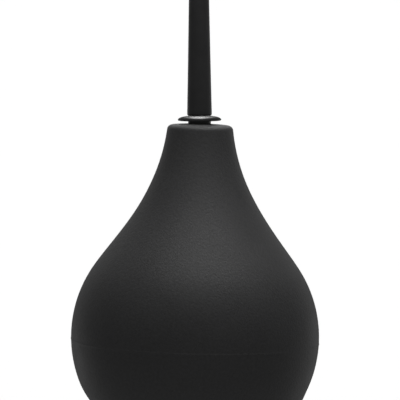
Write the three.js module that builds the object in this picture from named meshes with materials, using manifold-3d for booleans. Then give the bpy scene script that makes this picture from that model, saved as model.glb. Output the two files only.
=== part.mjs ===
// Dust blower for watch work: a hollow rubber bulb on a flat base, an air intake with a check
// valve in the base, and a tapered nozzle that screws into a threaded bush in the neck.
// Millimetres, +Z up along the nozzle, origin at the centre of the base.
import * as THREE from 'three';
import { mergeVertices } from 'three/addons/utils/BufferGeometryUtils.js';
import Module from 'manifold-3d';

// Bulb: a sphere cut flat at the base, with a concave shoulder that rises to the collar.
const BULB_RADIUS = 30;
const BULB_CENTRE = 27.5;         // height of the sphere's centre
const WALL = 2.5;
const SHOULDER_ANGLE = 31.7;      // degrees above the equator where the sphere ends
const COLLAR_RADIUS = 7.97;
const COLLAR_EDGE = 77.55;        // height where the collar's side starts to round over
const COLLAR_LEAN = 7;            // degrees that the collar's side leans in
const LIP_RADIUS = 3.05;          // hole in the collar's top
const LIP_TOP = 79;
const FLOOR = 5.2;                // height of the floor inside

// Neck bush, buried in the collar.
const BUSH_TOP = 77.3;
const BUSH_BOTTOM = 65.3;
const BUSH_RADIUS = 5.2;
const BUSH_BARB = 5.9;
const LEDGE = 75.4;               // the thread stops here, under a wider mouth
const MOUTH_RADIUS = 3.2;
const THREAD_END = 69.9;          // the bush's thread ends here, over a wider relief
const RELIEF_RADIUS = 3.1;

// Thread.
const PITCH = 1;
const CORE_RADIUS = 2.1;
const CREST_RADIUS = 2.62;
const THREAD_PLAY = 0.18;         // between the stem's thread and the bush's
const THREAD_TURNS = 4.5;
const THREAD_START = 70.4;
const STEM_SIDES = 24;            // facets round the bush and the stem, and in a turn of thread

// Nozzle base: threaded stem, thin flange and spigot in one piece.
const STEM_BOTTOM = 69.4;
const STEM_RADIUS = 2.74;
const STEM_SHOULDER = 76.4;
const STEM_BORE = 1.2;
const FLANGE_UNDERSIDE = 79.8;
const FLANGE_RADIUS = 5.24;
const FLANGE_TOP = 81;
const SPIGOT_RADIUS = 1.75;
const SPIGOT_TOP = 87;

// Nozzle: a tapered tube pushed over the spigot.
const FOOT_RADIUS = 2.98;
const FOOT_EDGE = 0.45;
const WAIST = [2.5, 102.5];       // radius and height that draw the taper in
const TIP_RADIUS = 1.78;
const TIP_EDGE = 0.4;
const TIP_TOP = 150;
const ORIFICE_RADIUS = 0.75;
const SOCKET_RADIUS = 1.95;
const SOCKET_TOP = 87.3;

// Stem seal: a round-section ring under the stem's shoulder.
const SEAL_SECTION = 0.42;         // radius of the ring's round section
const SEAL_RADIUS = 2.62;

// Intake valve in the base, with heights counted from the housing's underside.
const VALVE_BASE = 0.4;
const HOUSING_FLANGE = 9;
const HOUSING_FLANGE_TOP = 2;
const HOUSING_RADIUS = 6;
const HOUSING_BARB = 6.9;
const HOUSING_TOP = 8.8;
const RECESS_RADIUS = 9.3;
const HOUSING_HOLE = 6.2;         // hole in the bulb's base
const CHAMBER_RADIUS = 5;
const DISC_WELL = 4.6;
const SEAT_UNDERSIDE = 4.2;
const SEAT_TOP = 5.2;
const SEAT_HOLE = 2.2;
const CAGE_LEDGE = 7.3;
const COVER_RECESS = 7.2;
const COVER_RADIUS = 7;
const COVER_UNDERSIDE = 0.2;
const COVER_TOP = 1.6;
const FILTER_RADIUS = 4.7;
const DISC_RADIUS = 3.6;
const DISC_THICKNESS = 0.8;
const CAGE_RADIUS = 4.8;
const CAGE_RIM = 3.9;
const CAGE_THICKNESS = 1.2;
const CAGE_BAR = 0.9;
const SLOT_WIDTH = 1;
const SLOT_SPACING = 2;
const SLOT_REACH = 4.6;

const rubber = { color: 0x262626, roughness: 0.7, metalness: 0 };
const gloss = { color: 0x161616, roughness: 0.3, metalness: 0 };
const moulded = { color: 0x222222, roughness: 0.5, metalness: 0 };
const foam = { color: 0x4a4c50, roughness: 0.95, metalness: 0 };

const wasm = await Module();
wasm.setup();

const at = (radius, height) => new THREE.Vector2(radius, height);

// Points of an arc about (radius, height), between two angles in degrees.
function arc(radius, height, size, from, to, steps) {
  return Array.from({ length: steps + 1 }, (_, i) => {
    const angle = THREE.MathUtils.degToRad(from + (to - from) * i / steps);
    return at(radius + size * Math.cos(angle), height + size * Math.sin(angle));
  });
}

const bend = (from, pull, to, steps) =>
  new THREE.QuadraticBezierCurve(from, pull, to).getPoints(steps);

// A solid of revolution about Z. The outline runs up the outside and down the inside, and is
// closed by its first point.
function turned(outline, sides) {
  const points = outline.filter((point, i) => i === 0 || point.distanceTo(outline[i - 1]) > 1e-4);
  return new THREE.LatheGeometry([...points, points[0]], sides).rotateX(Math.PI / 2);
}

// A flat shape raised along Z from one height to another, with eight facets to each arc.
function raised(shape, from, to) {
  const options = { depth: to - from, bevelEnabled: false, curveSegments: 4 };
  return new THREE.ExtrudeGeometry(shape, options).translate(0, 0, from);
}

function disc(radius) {
  const shape = new THREE.Shape();
  for (let quarter = 0; quarter < 4; quarter++) {
    const from = quarter * Math.PI / 2;
    shape.absarc(0, 0, radius, from, from + Math.PI / 2, false);
  }
  return shape;
}

function toSolid(geometry) {
  const bare = geometry.clone();
  bare.deleteAttribute('normal');
  bare.deleteAttribute('uv');
  const merged = mergeVertices(bare);
  return new wasm.Manifold(new wasm.Mesh({
    numProp: 3,
    vertProperties: new Float32Array(merged.attributes.position.array),
    triVerts: new Uint32Array(merged.index.array),
  }));
}

function toGeometry(solid) {
  const mesh = solid.getMesh();
  const geometry = new THREE.BufferGeometry();
  geometry.setAttribute('position', new THREE.BufferAttribute(mesh.vertProperties, 3));
  geometry.setIndex(new THREE.BufferAttribute(mesh.triVerts, 1));
  return geometry;
}

function piece(name, geometry, look, lift = 0) {
  const mesh = new THREE.Mesh(geometry, new THREE.MeshStandardMaterial(look));
  mesh.name = name;
  mesh.position.z = lift;
  return mesh;
}

// A right-hand thread ridge. Play makes it wider and taller all round, for cutting a groove.
function threadRidge(play, start, turns) {
  const root = CORE_RADIUS - 0.3;
  const crest = CREST_RADIUS + play;
  const section = new THREE.Shape([
    at(root, -0.34 - play), at(CORE_RADIUS, -0.34 - play), at(crest, -0.1 - play),
    at(crest, 0.1 + play), at(CORE_RADIUS, 0.34 + play), at(root, 0.34 + play),
  ]);
  const sweep = turns * 2 * Math.PI;
  const steps = Math.round(turns * STEM_SIDES);
  const ridge = new THREE.ExtrudeGeometry(section, { depth: sweep, steps, bevelEnabled: false });
  const { position } = ridge.attributes;
  for (let i = 0; i < position.count; i++) {
    const radius = position.getX(i);
    const angle = sweep - position.getZ(i);
    const height = start + position.getY(i) + PITCH * angle / (2 * Math.PI);
    position.setXYZ(i, radius * Math.cos(angle), radius * Math.sin(angle), height);
  }
  return toSolid(ridge);
}

// ---- Bulb ----

function sphereArc(radius, from, to, steps) {
  return arc(0, BULB_CENTRE, radius, from, to, steps);
}

// The shoulder leaves the sphere along its tangent and ends on a steep side.
function shoulder(radius, end, lean, leave, arrive, steps) {
  const angle = THREE.MathUtils.degToRad(SHOULDER_ANGLE);
  const slope = THREE.MathUtils.degToRad(lean);
  const start = at(radius * Math.cos(angle), BULB_CENTRE + radius * Math.sin(angle));
  const first = at(start.x - leave * Math.sin(angle), start.y + leave * Math.cos(angle));
  const second = at(end.x + arrive * Math.sin(slope), end.y - arrive * Math.cos(slope));
  return new THREE.CubicBezierCurve(start, first, second, end).getPoints(steps);
}

function bulbShape() {
  const inner = BULB_RADIUS - WALL;
  const footAngle = -63.5;
  const foot = sphereArc(BULB_RADIUS, footAngle, footAngle, 1)[0];
  const corner = Math.sqrt(BULB_RADIUS ** 2 - BULB_CENTRE ** 2);
  const floorAngle = THREE.MathUtils.radToDeg(Math.asin((FLOOR - BULB_CENTRE) / inner));
  const pocket = BUSH_BARB + 0.2;
  const collarEdge = at(COLLAR_RADIUS, COLLAR_EDGE);
  const crownEdge = at(6.9, LIP_TOP - 0.5);
  const roundOver = new THREE.CubicBezierCurve(
    collarEdge, at(7.93, 77.95), at(7.65, 78.4), crownEdge);
  const outside = [
    at(RECESS_RADIUS, 0),
    ...bend(at(corner - 1.4, 0), at(corner, 0), foot, 3),
    ...sphereArc(BULB_RADIUS, footAngle, SHOULDER_ANGLE, 16),
    ...shoulder(BULB_RADIUS, collarEdge, COLLAR_LEAN, 8.88, 17, 11),
    ...roundOver.getPoints(4),
    ...bend(crownEdge, at(5, LIP_TOP - 0.1), at(LIP_RADIUS + 0.3, LIP_TOP), 2),
    at(LIP_RADIUS, LIP_TOP - 0.25),
  ];
  const inside = [
    at(LIP_RADIUS, BUSH_TOP),
    at(pocket, BUSH_TOP),
    ...shoulder(inner, at(pocket, BUSH_BOTTOM - 1), 0, 8, 12, 6).reverse(),
    ...sphereArc(inner, SHOULDER_ANGLE, floorAngle, 10),
    at(HOUSING_HOLE, FLOOR),
    at(HOUSING_HOLE, VALVE_BASE + HOUSING_FLANGE_TOP),
    at(RECESS_RADIUS, VALVE_BASE + HOUSING_FLANGE_TOP),
  ];
  return turned([...outside, ...inside], 36);
}

// ---- Neck and nozzle ----

function neckBush() {
  const barb = 2;
  const body = turned([
    at(RELIEF_RADIUS, BUSH_BOTTOM),
    at(BUSH_RADIUS, BUSH_BOTTOM),
    ...[0, 1, 2].flatMap((i) => [
      at(BUSH_RADIUS, BUSH_BOTTOM + 1.5 + i * 3.4),
      at(BUSH_BARB, BUSH_BOTTOM + 1.5 + i * 3.4),
      at(BUSH_BARB, BUSH_BOTTOM + 1.9 + i * 3.4),
      at(BUSH_RADIUS, BUSH_BOTTOM + 1.9 + barb + i * 3.4),
    ]),
    at(BUSH_RADIUS, BUSH_TOP),
    at(MOUTH_RADIUS, BUSH_TOP),
    at(MOUTH_RADIUS, LEDGE),
    at(CORE_RADIUS + THREAD_PLAY, LEDGE),
    at(CORE_RADIUS + THREAD_PLAY, THREAD_END),
    at(RELIEF_RADIUS, THREAD_END - 0.6),
  ], STEM_SIDES);
  const runOut = 1;
  const turns = Math.ceil((LEDGE - THREAD_END) / PITCH) + 2 * runOut;
  const groove = threadRidge(THREAD_PLAY, THREAD_START - (runOut + 1) * PITCH, turns);
  return toGeometry(toSolid(body).subtract(groove));
}

function nozzleBase() {
  const edge = 0.28;
  const rim = at(FLANGE_RADIUS, FLANGE_UNDERSIDE + edge);
  const body = turned([
    at(STEM_BORE, STEM_BOTTOM),
    at(CORE_RADIUS - 0.3, STEM_BOTTOM),
    at(CORE_RADIUS, STEM_BOTTOM + 0.3),
    at(CORE_RADIUS, STEM_SHOULDER),
    at(STEM_RADIUS, STEM_SHOULDER),
    at(STEM_RADIUS, FLANGE_UNDERSIDE),
    ...arc(FLANGE_RADIUS - edge, FLANGE_UNDERSIDE + edge, edge, -90, 0, 3),
    ...bend(rim, at(5.02, FLANGE_TOP - 0.38), at(4.1, FLANGE_TOP - 0.14), 4),
    at(FOOT_RADIUS - FOOT_EDGE, FLANGE_TOP),
    at(SPIGOT_RADIUS, FLANGE_TOP),
    at(SPIGOT_RADIUS, SPIGOT_TOP - 0.3),
    at(SPIGOT_RADIUS - 0.3, SPIGOT_TOP),
    at(STEM_BORE, SPIGOT_TOP),
  ], STEM_SIDES);
  return toGeometry(toSolid(body).add(threadRidge(0, THREAD_START, THREAD_TURNS)));
}

function nozzleTube() {
  const foot = at(FOOT_RADIUS, FLANGE_TOP + FOOT_EDGE);
  const tip = at(TIP_RADIUS, TIP_TOP - TIP_EDGE);
  return turned([
    at(SOCKET_RADIUS, FLANGE_TOP),
    ...arc(FOOT_RADIUS - FOOT_EDGE, FLANGE_TOP + FOOT_EDGE, FOOT_EDGE, -90, 0, 3),
    ...bend(foot, at(...WAIST), tip, 8),
    ...arc(TIP_RADIUS - TIP_EDGE, TIP_TOP - TIP_EDGE, TIP_EDGE, 0, 90, 3),
    at(ORIFICE_RADIUS, TIP_TOP),
    at(STEM_BORE, SOCKET_TOP),
    at(SOCKET_RADIUS, SOCKET_TOP),
  ], 36);
}

function sealRing() {
  return turned(arc(SEAL_RADIUS, 0, SEAL_SECTION, 0, 324, 9), 24);
}

// ---- Intake valve ----

function housingShape() {
  const barbStart = FLOOR - VALVE_BASE;
  return turned([
    at(COVER_RECESS, 0),
    at(HOUSING_FLANGE - 0.3, 0),
    at(HOUSING_FLANGE, 0.3),
    at(HOUSING_FLANGE, HOUSING_FLANGE_TOP),
    at(HOUSING_RADIUS, HOUSING_FLANGE_TOP),
    at(HOUSING_RADIUS, barbStart),
    at(HOUSING_BARB, barbStart),
    at(HOUSING_BARB, barbStart + 0.5),
    at(HOUSING_RADIUS, HOUSING_TOP - 1),
    at(HOUSING_RADIUS, HOUSING_TOP),
    at(CHAMBER_RADIUS, HOUSING_TOP),
    at(CHAMBER_RADIUS, CAGE_LEDGE),
    at(DISC_WELL, CAGE_LEDGE),
    at(DISC_WELL, SEAT_TOP),
    at(SEAT_HOLE, SEAT_TOP),
    at(SEAT_HOLE, SEAT_UNDERSIDE),
    at(CHAMBER_RADIUS, SEAT_UNDERSIDE),
    at(CHAMBER_RADIUS, COVER_TOP),
    at(COVER_RECESS, COVER_TOP),
  ], 32);
}

// A rim joined by four bars, with a quarter-ring window between each two.
function cageShape() {
  const shape = disc(CAGE_RADIUS);
  const gap = (radius) => Math.asin(CAGE_BAR / 2 / radius);
  const hub = 1.3;
  for (let quarter = 0; quarter < 4; quarter++) {
    const from = quarter * Math.PI / 2;
    const to = from + Math.PI / 2;
    const window = new THREE.Path();
    window.absarc(0, 0, CAGE_RIM, from + gap(CAGE_RIM), to - gap(CAGE_RIM), false);
    window.absarc(0, 0, hub, to - gap(hub), from + gap(hub), true);
    shape.holes.push(window);
  }
  return raised(shape, CAGE_LEDGE, CAGE_LEDGE + CAGE_THICKNESS);
}

// A flat grille of straight slots with round ends.
function coverShape() {
  const shape = disc(COVER_RADIUS);
  for (let i = -2; i <= 2; i++) {
    const x = i * SLOT_SPACING;
    const reach = Math.sqrt(SLOT_REACH ** 2 - x ** 2) - SLOT_WIDTH / 2;
    const slot = new THREE.Path();
    slot.absarc(x, reach, SLOT_WIDTH / 2, 0, Math.PI, false);
    slot.absarc(x, -reach, SLOT_WIDTH / 2, Math.PI, 2 * Math.PI, false);
    shape.holes.push(slot);
  }
  return raised(shape, COVER_UNDERSIDE, COVER_TOP);
}

// ---- Assembly ----

const neck = new THREE.Group();
neck.add(
  piece('neck_bush', neckBush(), moulded),
  piece('nozzle_base', nozzleBase(), gloss),
  piece('nozzle', nozzleTube(), gloss),
  piece('stem_seal', sealRing(), rubber, STEM_SHOULDER - SEAL_SECTION - 0.05),
);

const valve = new THREE.Group();
valve.position.z = VALVE_BASE;
valve.add(
  piece('intake_housing', housingShape(), moulded),
  piece('intake_cover', coverShape(), moulded),
  piece('filter_pad', raised(disc(FILTER_RADIUS), COVER_TOP, SEAT_UNDERSIDE), foam),
  piece('intake_disc', raised(disc(DISC_RADIUS), SEAT_TOP, SEAT_TOP + DISC_THICKNESS), rubber),
  piece('disc_cage', cageShape(), moulded),
);

const blower = new THREE.Group();
blower.add(piece('bulb', bulbShape(), rubber), neck, valve);

export default blower;
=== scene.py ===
import math

import bmesh
import bpy
from mathutils import Matrix, Vector
from mathutils.geometry import interpolate_bezier


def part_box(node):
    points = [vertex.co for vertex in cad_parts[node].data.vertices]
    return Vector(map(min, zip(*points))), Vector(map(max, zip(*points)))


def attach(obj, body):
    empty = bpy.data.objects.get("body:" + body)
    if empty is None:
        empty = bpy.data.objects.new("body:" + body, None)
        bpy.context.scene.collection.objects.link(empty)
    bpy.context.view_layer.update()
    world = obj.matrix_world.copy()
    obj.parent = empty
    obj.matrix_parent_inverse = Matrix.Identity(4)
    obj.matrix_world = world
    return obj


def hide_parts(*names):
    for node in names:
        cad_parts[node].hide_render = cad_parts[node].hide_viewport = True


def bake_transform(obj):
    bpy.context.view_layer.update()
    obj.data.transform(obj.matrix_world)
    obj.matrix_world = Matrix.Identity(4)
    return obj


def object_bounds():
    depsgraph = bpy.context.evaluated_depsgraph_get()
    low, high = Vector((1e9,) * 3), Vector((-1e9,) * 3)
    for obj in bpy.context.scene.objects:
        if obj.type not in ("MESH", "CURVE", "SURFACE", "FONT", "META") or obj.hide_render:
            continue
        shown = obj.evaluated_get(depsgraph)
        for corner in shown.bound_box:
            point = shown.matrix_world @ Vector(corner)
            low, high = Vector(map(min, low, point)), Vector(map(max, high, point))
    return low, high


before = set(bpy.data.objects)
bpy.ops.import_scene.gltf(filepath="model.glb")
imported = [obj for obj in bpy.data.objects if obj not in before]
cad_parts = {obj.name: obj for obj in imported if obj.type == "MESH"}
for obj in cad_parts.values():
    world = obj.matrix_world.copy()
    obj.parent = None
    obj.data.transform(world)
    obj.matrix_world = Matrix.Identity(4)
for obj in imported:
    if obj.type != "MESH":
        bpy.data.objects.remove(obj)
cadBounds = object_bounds()
scene = bpy.context.scene
mm = 0.001


def point(radius, height):
    return Vector((radius * mm, 0, height * mm))


# a long lens 0.8 m away, level with the middle of the nozzle and looking slightly down,
# with places in mm and the roll in degrees
view = {
    "distance": 800,
    "height": 116.7,
    "aimHeight": 60.64,
    "aimSide": 0.02,
    "lens": 299.3,
    "roll": -0.27,
}


def makeCamera():
    data = bpy.data.cameras.new("camera")
    data.lens = view["lens"]
    data.sensor_width = 36
    data.clip_end = 60
    camera = bpy.data.objects.new("camera", data)
    scene.collection.objects.link(camera)
    aim = Vector((view["aimSide"] * mm, 0, view["aimHeight"] * mm))
    camera.location = Vector((aim.x, -view["distance"] * mm, view["height"] * mm))
    turn = (aim - camera.location).to_track_quat("-Z", "Y").to_matrix()
    roll = Matrix.Rotation(math.radians(view["roll"]), 3, "Z")
    camera.rotation_euler = (turn @ roll).to_euler()
    scene.camera = camera


makeCamera()
print("camera ready")


# points round an arc whose middle is at a radius and height, with angles up from level
def arcPoints(radius, height, size, fromAngle, toAngle, steps):
    step = (toAngle - fromAngle) / steps
    angles = [math.radians(fromAngle + step * i) for i in range(steps + 1)]
    return [point(radius + size * math.cos(a), height + size * math.sin(a)) for a in angles]


# points along one Bezier curve
def bend(start, firstPull, secondPull, end, steps):
    return interpolate_bezier(start, firstPull, secondPull, end, steps + 1)


# closes the outline, spins it round the nozzle's axis and points the faces outwards
def spunMesh(outline, steps):
    bm = bmesh.new()
    verts = [bm.verts.new(p) for p in outline]
    edges = [bm.edges.new(pair) for pair in zip(verts, verts[1:] + verts[:1])]
    bmesh.ops.spin(
        bm, geom=verts + edges, cent=(0, 0, 0), axis=(0, 0, 1), dvec=(0, 0, 0),
        angle=2 * math.pi, steps=steps, use_merge=True, use_duplicate=False)
    bmesh.ops.remove_doubles(bm, verts=bm.verts, dist=1e-6)
    bmesh.ops.recalc_face_normals(bm, faces=bm.faces)
    return bm


hardAngle = 35  # degrees


def toObject(bm, name, material, sharpAngle=hardAngle):
    mesh = bpy.data.meshes.new(name)
    bm.to_mesh(mesh)
    bm.free()
    for face in mesh.polygons:
        face.use_smooth = True
    mesh.set_sharp_from_angle(angle=math.radians(sharpAngle))
    mesh.materials.append(material)
    piece = bpy.data.objects.new(name, mesh)
    scene.collection.objects.link(piece)
    return piece


# a copy of a CAD node with its doubles merged and its hard edges softened
def softened(node, name, width, material):
    bm = bmesh.new()
    bm.from_mesh(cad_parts[node].data)
    bmesh.ops.remove_doubles(bm, verts=bm.verts, dist=1e-6)
    bmesh.ops.dissolve_limit(
        bm, angle_limit=math.radians(0.5), verts=bm.verts, edges=bm.edges)
    hard = [e for e in bm.edges if e.is_manifold and e.calc_face_angle() > math.radians(hardAngle)]
    bmesh.ops.bevel(
        bm, geom=hard, offset=width * mm, segments=2, profile=0.5, material=-1,
        affect="EDGES", clamp_overlap=True)
    return toObject(bm, name, material)


noiseMiddle = (0.3, 0.7)  # most of a noise texture's values lie between these


def newMaterial(name, shaderValues):
    material = bpy.data.materials.new(name)
    material.use_nodes = True
    nodes = material.node_tree.nodes
    shader = nodes["Principled BSDF"]
    for socket, value in shaderValues.items():
        shader.inputs[socket].default_value = value
    return material, nodes, material.node_tree.links, shader


def noise(nodes, links, coords, scale, detail, roughness=0.5):
    texture = nodes.new("ShaderNodeTexNoise")
    texture.inputs["Scale"].default_value = scale
    texture.inputs["Detail"].default_value = detail
    texture.inputs["Roughness"].default_value = roughness
    links.new(coords, texture.inputs["Vector"])
    return texture.outputs["Fac"]


def ramp(nodes, links, factor, stops):
    node = nodes.new("ShaderNodeValToRGB")
    while len(node.color_ramp.elements) < len(stops):
        node.color_ramp.elements.new(0.5)
    for element, (place, grey) in zip(node.color_ramp.elements, stops):
        element.position = place
        element.color = (grey[0], grey[1], grey[2], 1)
    links.new(factor, node.inputs["Fac"])
    return node.outputs["Color"]


def remap(nodes, links, value, fromRange, toRange):
    node = nodes.new("ShaderNodeMapRange")
    node.inputs["From Min"].default_value = fromRange[0]
    node.inputs["From Max"].default_value = fromRange[1]
    node.inputs["To Min"].default_value = toRange[0]
    node.inputs["To Max"].default_value = toRange[1]
    links.new(value, node.inputs["Value"])
    return node.outputs["Result"]


def addBump(nodes, links, height, distance, strength):
    node = nodes.new("ShaderNodeBump")
    node.inputs["Distance"].default_value = distance * mm
    node.inputs["Strength"].default_value = strength
    links.new(height, node.inputs["Height"])
    return node.outputs["Normal"]


# sizes and depths of the patterns are in mm in every look
bulbRubber = {
    "dark": (0.034, 0.034, 0.0345),
    "light": (0.052, 0.052, 0.053),
    "speckle": 0.65,
    "roughness": (0.55, 0.65),
    "specular": 0.38,
    "grainSize": 0.6,
    "grainDepth": 0.12,
    "cloudSize": 14,
    "bumpStrength": 0.6,
}


def rubberMaterial():
    values = {"Specular IOR Level": bulbRubber["specular"]}
    material, nodes, links, shader = newMaterial("bulb rubber", values)
    coords = nodes.new("ShaderNodeTexCoord").outputs["Object"]
    cloud = noise(nodes, links, coords, 1000 / bulbRubber["cloudSize"], 4, 0.6)
    grain = noise(nodes, links, coords, 1000 / bulbRubber["grainSize"], 3, 0.6)
    speckled = nodes.new("ShaderNodeMix")
    speckled.inputs["Factor"].default_value = bulbRubber["speckle"]
    links.new(cloud, speckled.inputs["A"])
    links.new(grain, speckled.inputs["B"])
    stops = list(zip(noiseMiddle, (bulbRubber["dark"], bulbRubber["light"])))
    links.new(
        ramp(nodes, links, speckled.outputs["Result"], stops), shader.inputs["Base Color"])
    links.new(
        remap(nodes, links, cloud, noiseMiddle, bulbRubber["roughness"]),
        shader.inputs["Roughness"])
    links.new(
        addBump(nodes, links, grain, bulbRubber["grainDepth"], bulbRubber["bumpStrength"]),
        shader.inputs["Normal"])
    return material


nozzlePlastic = {
    "dark": (0.022, 0.022, 0.0225),
    "light": (0.030, 0.030, 0.0305),
    "roughness": (0.38, 0.46),
    "specular": 0.35,
    "cloudSize": 5,
    "flowSize": 1.2,
    "flowDepth": 0.006,
}

# the flange is glossier than the tube
flangePlastic = {
    **nozzlePlastic,
    "dark": (0.034, 0.034, 0.0345),
    "light": (0.044, 0.044, 0.0445),
    "roughness": (0.28, 0.34),
    "specular": 0.5,
}


def plasticMaterial(name, look):
    material, nodes, links, shader = newMaterial(name, {"Specular IOR Level": look["specular"]})
    coords = nodes.new("ShaderNodeTexCoord").outputs["Object"]
    cloud = noise(nodes, links, coords, 1000 / look["cloudSize"], 4, 0.6)
    flow = noise(nodes, links, coords, 1000 / look["flowSize"], 2, 0.5)
    stops = list(zip(noiseMiddle, (look["dark"], look["light"])))
    links.new(ramp(nodes, links, cloud, stops), shader.inputs["Base Color"])
    links.new(
        remap(nodes, links, cloud, noiseMiddle, look["roughness"]), shader.inputs["Roughness"])
    links.new(addBump(nodes, links, flow, look["flowDepth"], 0.5), shader.inputs["Normal"])
    return material


insertPlastic = {
    "dark": (0.028, 0.028, 0.029),
    "light": (0.040, 0.040, 0.041),
    "roughness": (0.40, 0.52),
    "specular": 0.5,
    "cloudSize": 4,
    "flowSize": 0.5,
    "flowDepth": 0.01,
}

sealRubber = {
    "dark": (0.016, 0.016, 0.0165),
    "light": (0.024, 0.024, 0.0245),
    "roughness": (0.45, 0.6),
    "specular": 0.4,
    "cloudSize": 3,
    "flowSize": 0.3,
    "flowDepth": 0.01,
}

filterFoam = {
    "dark": (0.03, 0.032, 0.034),
    "light": (0.22, 0.23, 0.24),
    "cell": 0.45,
    "depth": 0.2,
}


def foamMaterial():
    material, nodes, links, shader = newMaterial("filter foam", {"Roughness": 0.95})
    coords = nodes.new("ShaderNodeTexCoord").outputs["Object"]
    cells = nodes.new("ShaderNodeTexVoronoi")
    cells.inputs["Scale"].default_value = 1000 / filterFoam["cell"]
    links.new(coords, cells.inputs["Vector"])
    stops = [(0.1, filterFoam["dark"]), (0.55, filterFoam["light"])]
    links.new(ramp(nodes, links, cells.outputs["Distance"], stops), shader.inputs["Base Color"])
    links.new(
        addBump(nodes, links, cells.outputs["Distance"], filterFoam["depth"], 0.8),
        shader.inputs["Normal"])
    return material


looks = {
    "bulb": rubberMaterial(),
    "nozzle": plasticMaterial("nozzle plastic", nozzlePlastic),
    "flange": plasticMaterial("flange plastic", flangePlastic),
    "insert": plasticMaterial("insert plastic", insertPlastic),
    "seal": plasticMaterial("seal rubber", sealRubber),
    "foam": foamMaterial(),
}
print("materials ready")


# all in mm and degrees, with heights from the floor
bulb = {
    "radius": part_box("bulb")[1].x / mm,
    "centre": 27.5,
    "wall": 2.5,
    "footAngle": -63.5,
    "footPull": 0.6,
    "baseEdge": 1.4,
    "basePull": 0.5,
    "shoulderAngle": 31.7,
    "shoulderLeave": 8.88,
    "shoulderArrive": 17,
    "collarRadius": 7.97,
    "collarEdge": 77.55,
    "collarLean": 7,
    "collarPulls": ((7.93, 78.1), (7.6, 78.6)),
    "crownRadius": 6.75,
    "crownDrop": 0.22,
    "crownPulls": ((5.6, 0.11), (4.4, 0.05)),
    "lipRound": 0.3,
    "lipDrop": 0.05,
    "lipRadius": 3.05,
    "lipTop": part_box("bulb")[1].z / mm,
    "pocketRadius": 6.1,
    "pocketTop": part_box("neck_bush")[1].z / mm,
    "pocketBottom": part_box("neck_bush")[0].z / mm - 1,
    "pocketLeave": 8,
    "pocketArrive": 12,
    "floor": 5.2,
    "holeRadius": 6.2,
    "recessRadius": 9.3,
    "recessTop": 2.4,
    "seamAngle": -1.8,
    "seamReach": 1.5,
    "seamHeight": 0.075,
    "seamWidth": 0.24,
    "lean": 1.68,
    "leanPivot": 73,
    "leanFrom": 3,
    "leanFull": 16,
    "drift": 0.08,
    "driftHeight": 57.5,
    "driftSpread": 6.5,
    "squeezeFrom": 6,
    "squeezeTo": 66,
    "sides": 160,
}


# the concave curve from the round body up to the collar, or to the bush's pocket inside
def shoulder(radius, end, lean, leave, arrive, steps):
    angle = math.radians(bulb["shoulderAngle"])
    slope = math.radians(lean)
    start = point(radius * math.cos(angle), bulb["centre"] + radius * math.sin(angle))
    first = start + leave * mm * Vector((-math.sin(angle), 0, math.cos(angle)))
    second = end + arrive * mm * Vector((math.sin(slope), 0, -math.cos(slope)))
    return bend(start, first, second, end, steps)


def bulbOutline():
    b = bulb
    inner = b["radius"] - b["wall"]
    foot = arcPoints(0, b["centre"], b["radius"], b["footAngle"], b["footAngle"], 1)[0]
    corner = math.sqrt(b["radius"] ** 2 - b["centre"] ** 2)
    floorAngle = math.degrees(math.asin((b["floor"] - b["centre"]) / inner))
    edge = point(b["collarRadius"], b["collarEdge"])
    crown = point(b["crownRadius"], b["lipTop"] - b["crownDrop"])
    lip = point(b["lipRadius"] + b["lipRound"], b["lipTop"] - b["lipDrop"])
    crownPulls = [point(radius, b["lipTop"] - drop) for radius, drop in b["crownPulls"]]
    seamLow, seamHigh = b["seamAngle"] - b["seamReach"], b["seamAngle"] + b["seamReach"]
    below = arcPoints(0, b["centre"], b["radius"], b["footAngle"], seamLow, 30)
    seam = arcPoints(0, b["centre"], b["radius"], seamLow, seamHigh, 24)
    above = arcPoints(0, b["centre"], b["radius"], seamHigh, b["shoulderAngle"], 18)
    seamZ = b["centre"] + b["radius"] * math.sin(math.radians(b["seamAngle"]))
    for p in seam:
        p.x += b["seamHeight"] * mm * math.exp(-((p.z / mm - seamZ) / b["seamWidth"]) ** 2)
    outside = [
        point(b["recessRadius"], 0),
        *bend(
            point(corner - b["baseEdge"], 0), point(corner - b["basePull"], 0),
            foot.lerp(point(corner, 0), b["footPull"]), foot, 6),
        *below[1:], *seam[1:], *above[1:],
        *shoulder(
            b["radius"], edge, b["collarLean"], b["shoulderLeave"], b["shoulderArrive"], 30)[1:],
        *bend(edge, *(point(*pull) for pull in b["collarPulls"]), crown, 8)[1:],
        *bend(crown, *crownPulls, lip, 8)[1:],
        *arcPoints(
            b["lipRadius"] + b["lipRound"], b["lipTop"] - b["lipDrop"] - b["lipRound"],
            b["lipRound"], 110, 180, 4),
    ]
    pocket = point(b["pocketRadius"], b["pocketBottom"])
    inside = [
        point(b["lipRadius"], b["pocketTop"]),
        point(b["pocketRadius"], b["pocketTop"]),
        *reversed(shoulder(inner, pocket, 0, b["pocketLeave"], b["pocketArrive"], 14)),
        *arcPoints(0, b["centre"], inner, b["shoulderAngle"], floorAngle, 24)[1:],
        point(b["holeRadius"], b["floor"]),
        point(b["holeRadius"], b["recessTop"]),
        point(b["recessRadius"], b["recessTop"]),
    ]
    return outside + inside


# the soft bulb leans a little under its hard nozzle and its neck drifts a hair to one side,
# while its base stays flat
def leanBulb(bm):
    tilt = Matrix.Rotation(math.radians(bulb["lean"]), 3, "Y")
    pivot = point(0, bulb["leanPivot"])
    low, full = bulb["leanFrom"] * mm, bulb["leanFull"] * mm
    for v in bm.verts:
        t = min(max((v.co.z - low) / (full - low), 0), 1)
        turned = pivot + tilt @ (v.co - pivot)
        drift = math.exp(-((v.co.z / mm - bulb["driftHeight"]) / bulb["driftSpread"]) ** 2)
        v.co = v.co.lerp(turned, t * t * (3 - 2 * t))
        v.co.x += bulb["drift"] * mm * drift


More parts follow.
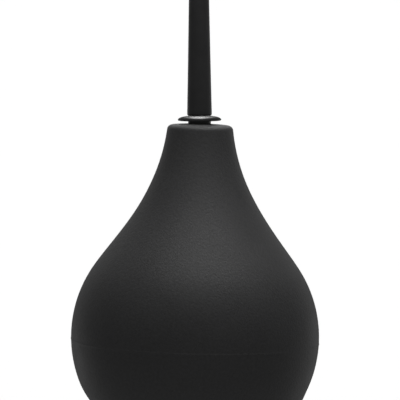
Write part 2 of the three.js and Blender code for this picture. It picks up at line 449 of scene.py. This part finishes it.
def makeBulb():
    bm = spunMesh(bulbOutline(), bulb["sides"])
    leanBulb(bm)
    piece = toObject(bm, "bulbBody", looks["bulb"], 50)
    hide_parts("bulb")
    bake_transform(piece)


makeBulb()
print("bulb ready")


stem = {
    "bottom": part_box("nozzle_base")[0].z / mm,
    "spigotTop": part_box("nozzle_base")[1].z / mm,
    "core": 2.1,
    "radius": 2.74,
    "shoulder": 76.4,
    "shoulderEdge": 0.1,
    "fillet": 0.15,
    "chamfer": 0.3,
    "bore": 1.2,
    "underside": 79.8,
    "flangeRadius": 5.24,
    "flangeEdge": 0.28,
    "flangeTop": 81,
    "domeEdge": (4.1, 0.26),
    "domePull": (5.02, 0.5),
    "spigotRadius": 1.75,
    "pitch": 1,
    "crest": 2.62,
    "crestHalf": 0.1,
    "rootHalf": 0.34,
    "threadSink": 0.2,
    "threadStart": 70.4,
    "threadTurns": 4.5,
    "turnSteps": 64,
    "sides": 128,
}

nozzle = {
    "bottom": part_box("nozzle")[0].z / mm,
    "top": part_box("nozzle")[1].z / mm,
    "foot": 2.98,
    "footEdge": 0.45,
    "waist": (2.5, 102.5),
    "tip": 1.78,
    "tipEdge": 0.4,
    "orifice": 0.75,
    "orificeEdge": 0.1,
    "socket": 1.95,
    "socketTop": 87.3,
    "sides": 128,
}


def stemOutline():
    s = stem
    edge, rounding, fillet = s["flangeEdge"], s["shoulderEdge"], s["fillet"]
    rim = point(s["flangeRadius"], s["underside"] + edge)
    dome, pull = [
        point(radius, s["flangeTop"] - drop) for radius, drop in (s["domeEdge"], s["domePull"])]
    return [
        point(s["bore"], s["bottom"]),
        point(s["core"] - s["chamfer"], s["bottom"]),
        point(s["core"], s["bottom"] + s["chamfer"]),
        point(s["core"], s["shoulder"]),
        *arcPoints(s["radius"] - rounding, s["shoulder"] + rounding, rounding, -90, 0, 3),
        *reversed(arcPoints(s["radius"] + fillet, s["underside"] - fillet, fillet, 90, 180, 4)),
        *arcPoints(s["flangeRadius"] - edge, s["underside"] + edge, edge, -90, 0, 8),
        *bend(rim, rim.lerp(pull, 2 / 3), dome.lerp(pull, 2 / 3), dome, 12)[1:],
        point(nozzle["foot"] - nozzle["footEdge"], s["flangeTop"]),
        point(s["spigotRadius"], s["flangeTop"]),
        point(s["spigotRadius"], s["spigotTop"] - s["chamfer"]),
        point(s["spigotRadius"] - s["chamfer"], s["spigotTop"]),
        point(s["bore"], s["spigotTop"]),
    ]


# sweeps one tooth's section up a helix round the stem
def addThread(bm):
    s = stem
    buried, root, crest = s["core"] - s["threadSink"], s["rootHalf"], s["crestHalf"]
    section = [
        (buried, -root), (s["core"], -root), (s["crest"], -crest),
        (s["crest"], crest), (s["core"], root), (buried, root)]
    verts = [bm.verts.new(point(r, s["threadStart"] + z)) for r, z in section]
    face = bm.faces.new(verts)
    steps = round(s["threadTurns"] * s["turnSteps"])
    bmesh.ops.spin(
        bm, geom=[face], cent=(0, 0, 0), axis=(0, 0, 1),
        dvec=(0, 0, s["pitch"] * mm / s["turnSteps"]),
        angle=2 * math.pi * s["threadTurns"], steps=steps, use_duplicate=False)


def nozzleOutline():
    n = nozzle
    foot = point(n["foot"], n["bottom"] + n["footEdge"])
    tip = point(n["tip"], n["top"] - n["tipEdge"])
    waist = point(*n["waist"])
    return [
        point(n["socket"], n["bottom"]),
        *arcPoints(n["foot"] - n["footEdge"], n["bottom"] + n["footEdge"], n["footEdge"], -90, 0, 8),
        *bend(foot, foot.lerp(waist, 2 / 3), tip.lerp(waist, 2 / 3), tip, 40)[1:],
        *arcPoints(n["tip"] - n["tipEdge"], n["top"] - n["tipEdge"], n["tipEdge"], 0, 90, 8)[1:],
        point(n["orifice"] + n["orificeEdge"], n["top"]),
        point(n["orifice"], n["top"] - n["orificeEdge"]),
        point(stem["bore"], n["socketTop"]),
        point(n["socket"], n["socketTop"]),
    ]


def makeNozzle():
    bm = spunMesh(stemOutline(), stem["sides"])
    addThread(bm)
    bmesh.ops.recalc_face_normals(bm, faces=bm.faces)
    flange = toObject(bm, "flangedStem", looks["flange"])
    tube = toObject(spunMesh(nozzleOutline(), nozzle["sides"]), "nozzleTube", looks["nozzle"])
    for piece, node in ((flange, "nozzle_base"), (tube, "nozzle")):
        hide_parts(node)
        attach(piece, "nozzle")


makeNozzle()
print("nozzle ready")


sealRing = {"section": 0.42, "radius": 2.62, "sides": 96}


def makeSeal():
    low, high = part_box("stem_seal")
    height = (low.z + high.z) / 2 / mm
    outline = arcPoints(sealRing["radius"], height, sealRing["section"], 0, 345, 23)
    piece = toObject(spunMesh(outline, sealRing["sides"]), "stemSeal", looks["seal"])
    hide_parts("stem_seal")
    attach(piece, "seal")


# CAD node: new piece, body, edge softening in mm, look, slot
insertPieces = {
    "neck_bush": ("neckBush", "neck", 0.05, "insert", "insert_plastic"),
    "intake_housing": ("intakeHousing", "base", 0.12, "insert", "insert_plastic"),
    "intake_cover": ("intakeCover", "base", 0.12, "insert", "insert_plastic"),
    "disc_cage": ("discCage", "base", 0.1, "insert", "insert_plastic"),
    "intake_disc": ("intakeDisc", "disc", 0.1, "seal", "seal_rubber"),
    "filter_pad": ("filterPad", "base", 0.2, "foam", "filter_foam"),
}


def makeInserts():
    for node, (name, body, width, look, slotName) in insertPieces.items():
        piece = softened(node, name, width, looks[look])
        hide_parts(node)
        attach(piece, body)


makeSeal()
makeInserts()
print("seal and intake ready")


studio = {
    "floorRadius": 12,
    "floorGrey": 0.8,
    "washPower": 3.5,
    "washAngle": 70,
    "skyFront": 0.18,
    "skyBack": 0.105,
    "skyBelow": 0.155,
}


def makeFloor():
    material = newMaterial("floor", {
        "Base Color": (studio["floorGrey"],) * 3 + (1,),
        "Roughness": 0.9,
        "Specular IOR Level": 0,
    })[0]
    bm = bmesh.new()
    bmesh.ops.create_circle(bm, cap_ends=True, radius=studio["floorRadius"], segments=96)
    floor = toObject(bm, "floor", material)
    floor.location.z = cadBounds[0][2] - 0.1 * mm
    floor.visible_diffuse = False
    floor.visible_glossy = False
    floor.visible_shadow = False
    return floor


# the sky changes from front to back, adds the light of a pale bench below, and is plain
# white to the camera
def makeWorld():
    world = bpy.data.worlds.new("studio")
    scene.world = world
    world.use_nodes = True
    nodes, links = world.node_tree.nodes, world.node_tree.links
    nodes.clear()
    coords = nodes.new("ShaderNodeTexCoord").outputs["Generated"]
    split = nodes.new("ShaderNodeSeparateXYZ")
    links.new(coords, split.inputs["Vector"])
    frontToBack = (studio["skyFront"], studio["skyBack"])
    level = remap(nodes, links, split.outputs["Y"], (-1, 1), frontToBack)
    bench = remap(nodes, links, split.outputs["Z"], (0, -1), (0, studio["skyBelow"]))
    total = nodes.new("ShaderNodeMath")
    links.new(level, total.inputs[0])
    links.new(bench, total.inputs[1])
    seen = nodes.new("ShaderNodeLightPath").outputs["Is Camera Ray"]
    pick = nodes.new("ShaderNodeMix")
    links.new(seen, pick.inputs["Factor"])
    links.new(total.outputs["Value"], pick.inputs["A"])
    pick.inputs["B"].default_value = 1
    sky = nodes.new("ShaderNodeBackground")
    sky.inputs["Color"].default_value = (1, 1, 1, 1)
    links.new(pick.outputs["Result"], sky.inputs["Strength"])
    out = nodes.new("ShaderNodeOutputWorld")
    links.new(sky.outputs["Background"], out.inputs["Surface"])


# place, aim, width and depth in metres, power in watts, and what the lamp lights
lamps = {
    "top": ((0.022, -0.03, 0.205), (0.022, -0.03, 0), 0.14, 0.14, 0.162, "no flange"),
    "topBack": ((0, 0.12, 0.22), (0, 0, 0.07), 0.2, 0.15, 0.13, "no flange"),
    "backLow": ((0, 1.3, 0.35), (0, 0, 0.06), 0.5, 0.3, 0.9, "no flange"),
    "high": ((0.2, 0.1, 1.0), (0, 0, 0.06), 0.6, 0.6, 1.66, "no flange"),
    "backRight": ((0.75, 1.1, 0.3), (0, 0, 0.05), 0.5, 0.8, 0.384, "no flange"),
    "backLeft": ((-0.75, 1.1, 0.3), (0, 0, 0.05), 0.5, 0.8, 0.428, "no flange"),
    "lowRight": ((0.7, 0.7, -0.2), (0, 0, 0.04), 0.6, 0.4, 0.56, "all"),
    "lowLeft": ((-0.7, 0.7, -0.2), (0, 0, 0.04), 0.6, 0.4, 0.48, "all"),
    "flangeGlint": ((0, 0.243, 0.333), (0, 0, 0.081), 0.07, 0.255, 0.3, "flange"),
}


def linkTo(lamp, name, objects):
    receivers = bpy.data.collections.new(name)
    for obj in objects:
        receivers.objects.link(obj)
    lamp.light_linking.receiver_collection = receivers


def aimLamp(lamp, place, aim):
    lamp.location = place
    lamp.rotation_euler = (Vector(aim) - Vector(place)).to_track_quat("-Z", "Y").to_euler()


# the lamps light the blower alone, the flange and the nozzle throw no shadow on it, and an
# even wash from above lights the floor alone
def makeLamps(floor):
    pieces = [o for o in scene.objects if o.type == "MESH" and o != floor]
    lit = {
        "all": pieces,
        "no flange": [o for o in pieces if o.name != "flangedStem"],
        "flange": [o for o in pieces if o.name == "flangedStem"],
    }
    blockers = bpy.data.collections.new("blockers")
    for piece in pieces:
        if piece.name not in ("flangedStem", "nozzleTube"):
            blockers.objects.link(piece)
    for name, (place, aim, width, depth, power, target) in lamps.items():
        data = bpy.data.lights.new(name, "AREA")
        data.shape = "RECTANGLE"
        data.size = width
        data.size_y = depth
        data.energy = power
        lamp = bpy.data.objects.new(name, data)
        scene.collection.objects.link(lamp)
        aimLamp(lamp, place, aim)
        lamp.visible_camera = False
        # with it, the tube would still hide the glint's lamp from the flange
        data.cycles.use_multiple_importance_sampling = target != "flange"
        linkTo(lamp, name + "Receivers", lit[target])
        lamp.light_linking.blocker_collection = blockers
    wash = bpy.data.lights.new("wash", "SUN")
    wash.energy = studio["washPower"]
    wash.angle = math.radians(studio["washAngle"])
    lamp = bpy.data.objects.new("wash", wash)
    scene.collection.objects.link(lamp)
    linkTo(lamp, "washReceivers", [floor])


floor = makeFloor()
makeWorld()
makeLamps(floor)
scene.view_settings.view_transform = "Standard"
print("floor and light ready")
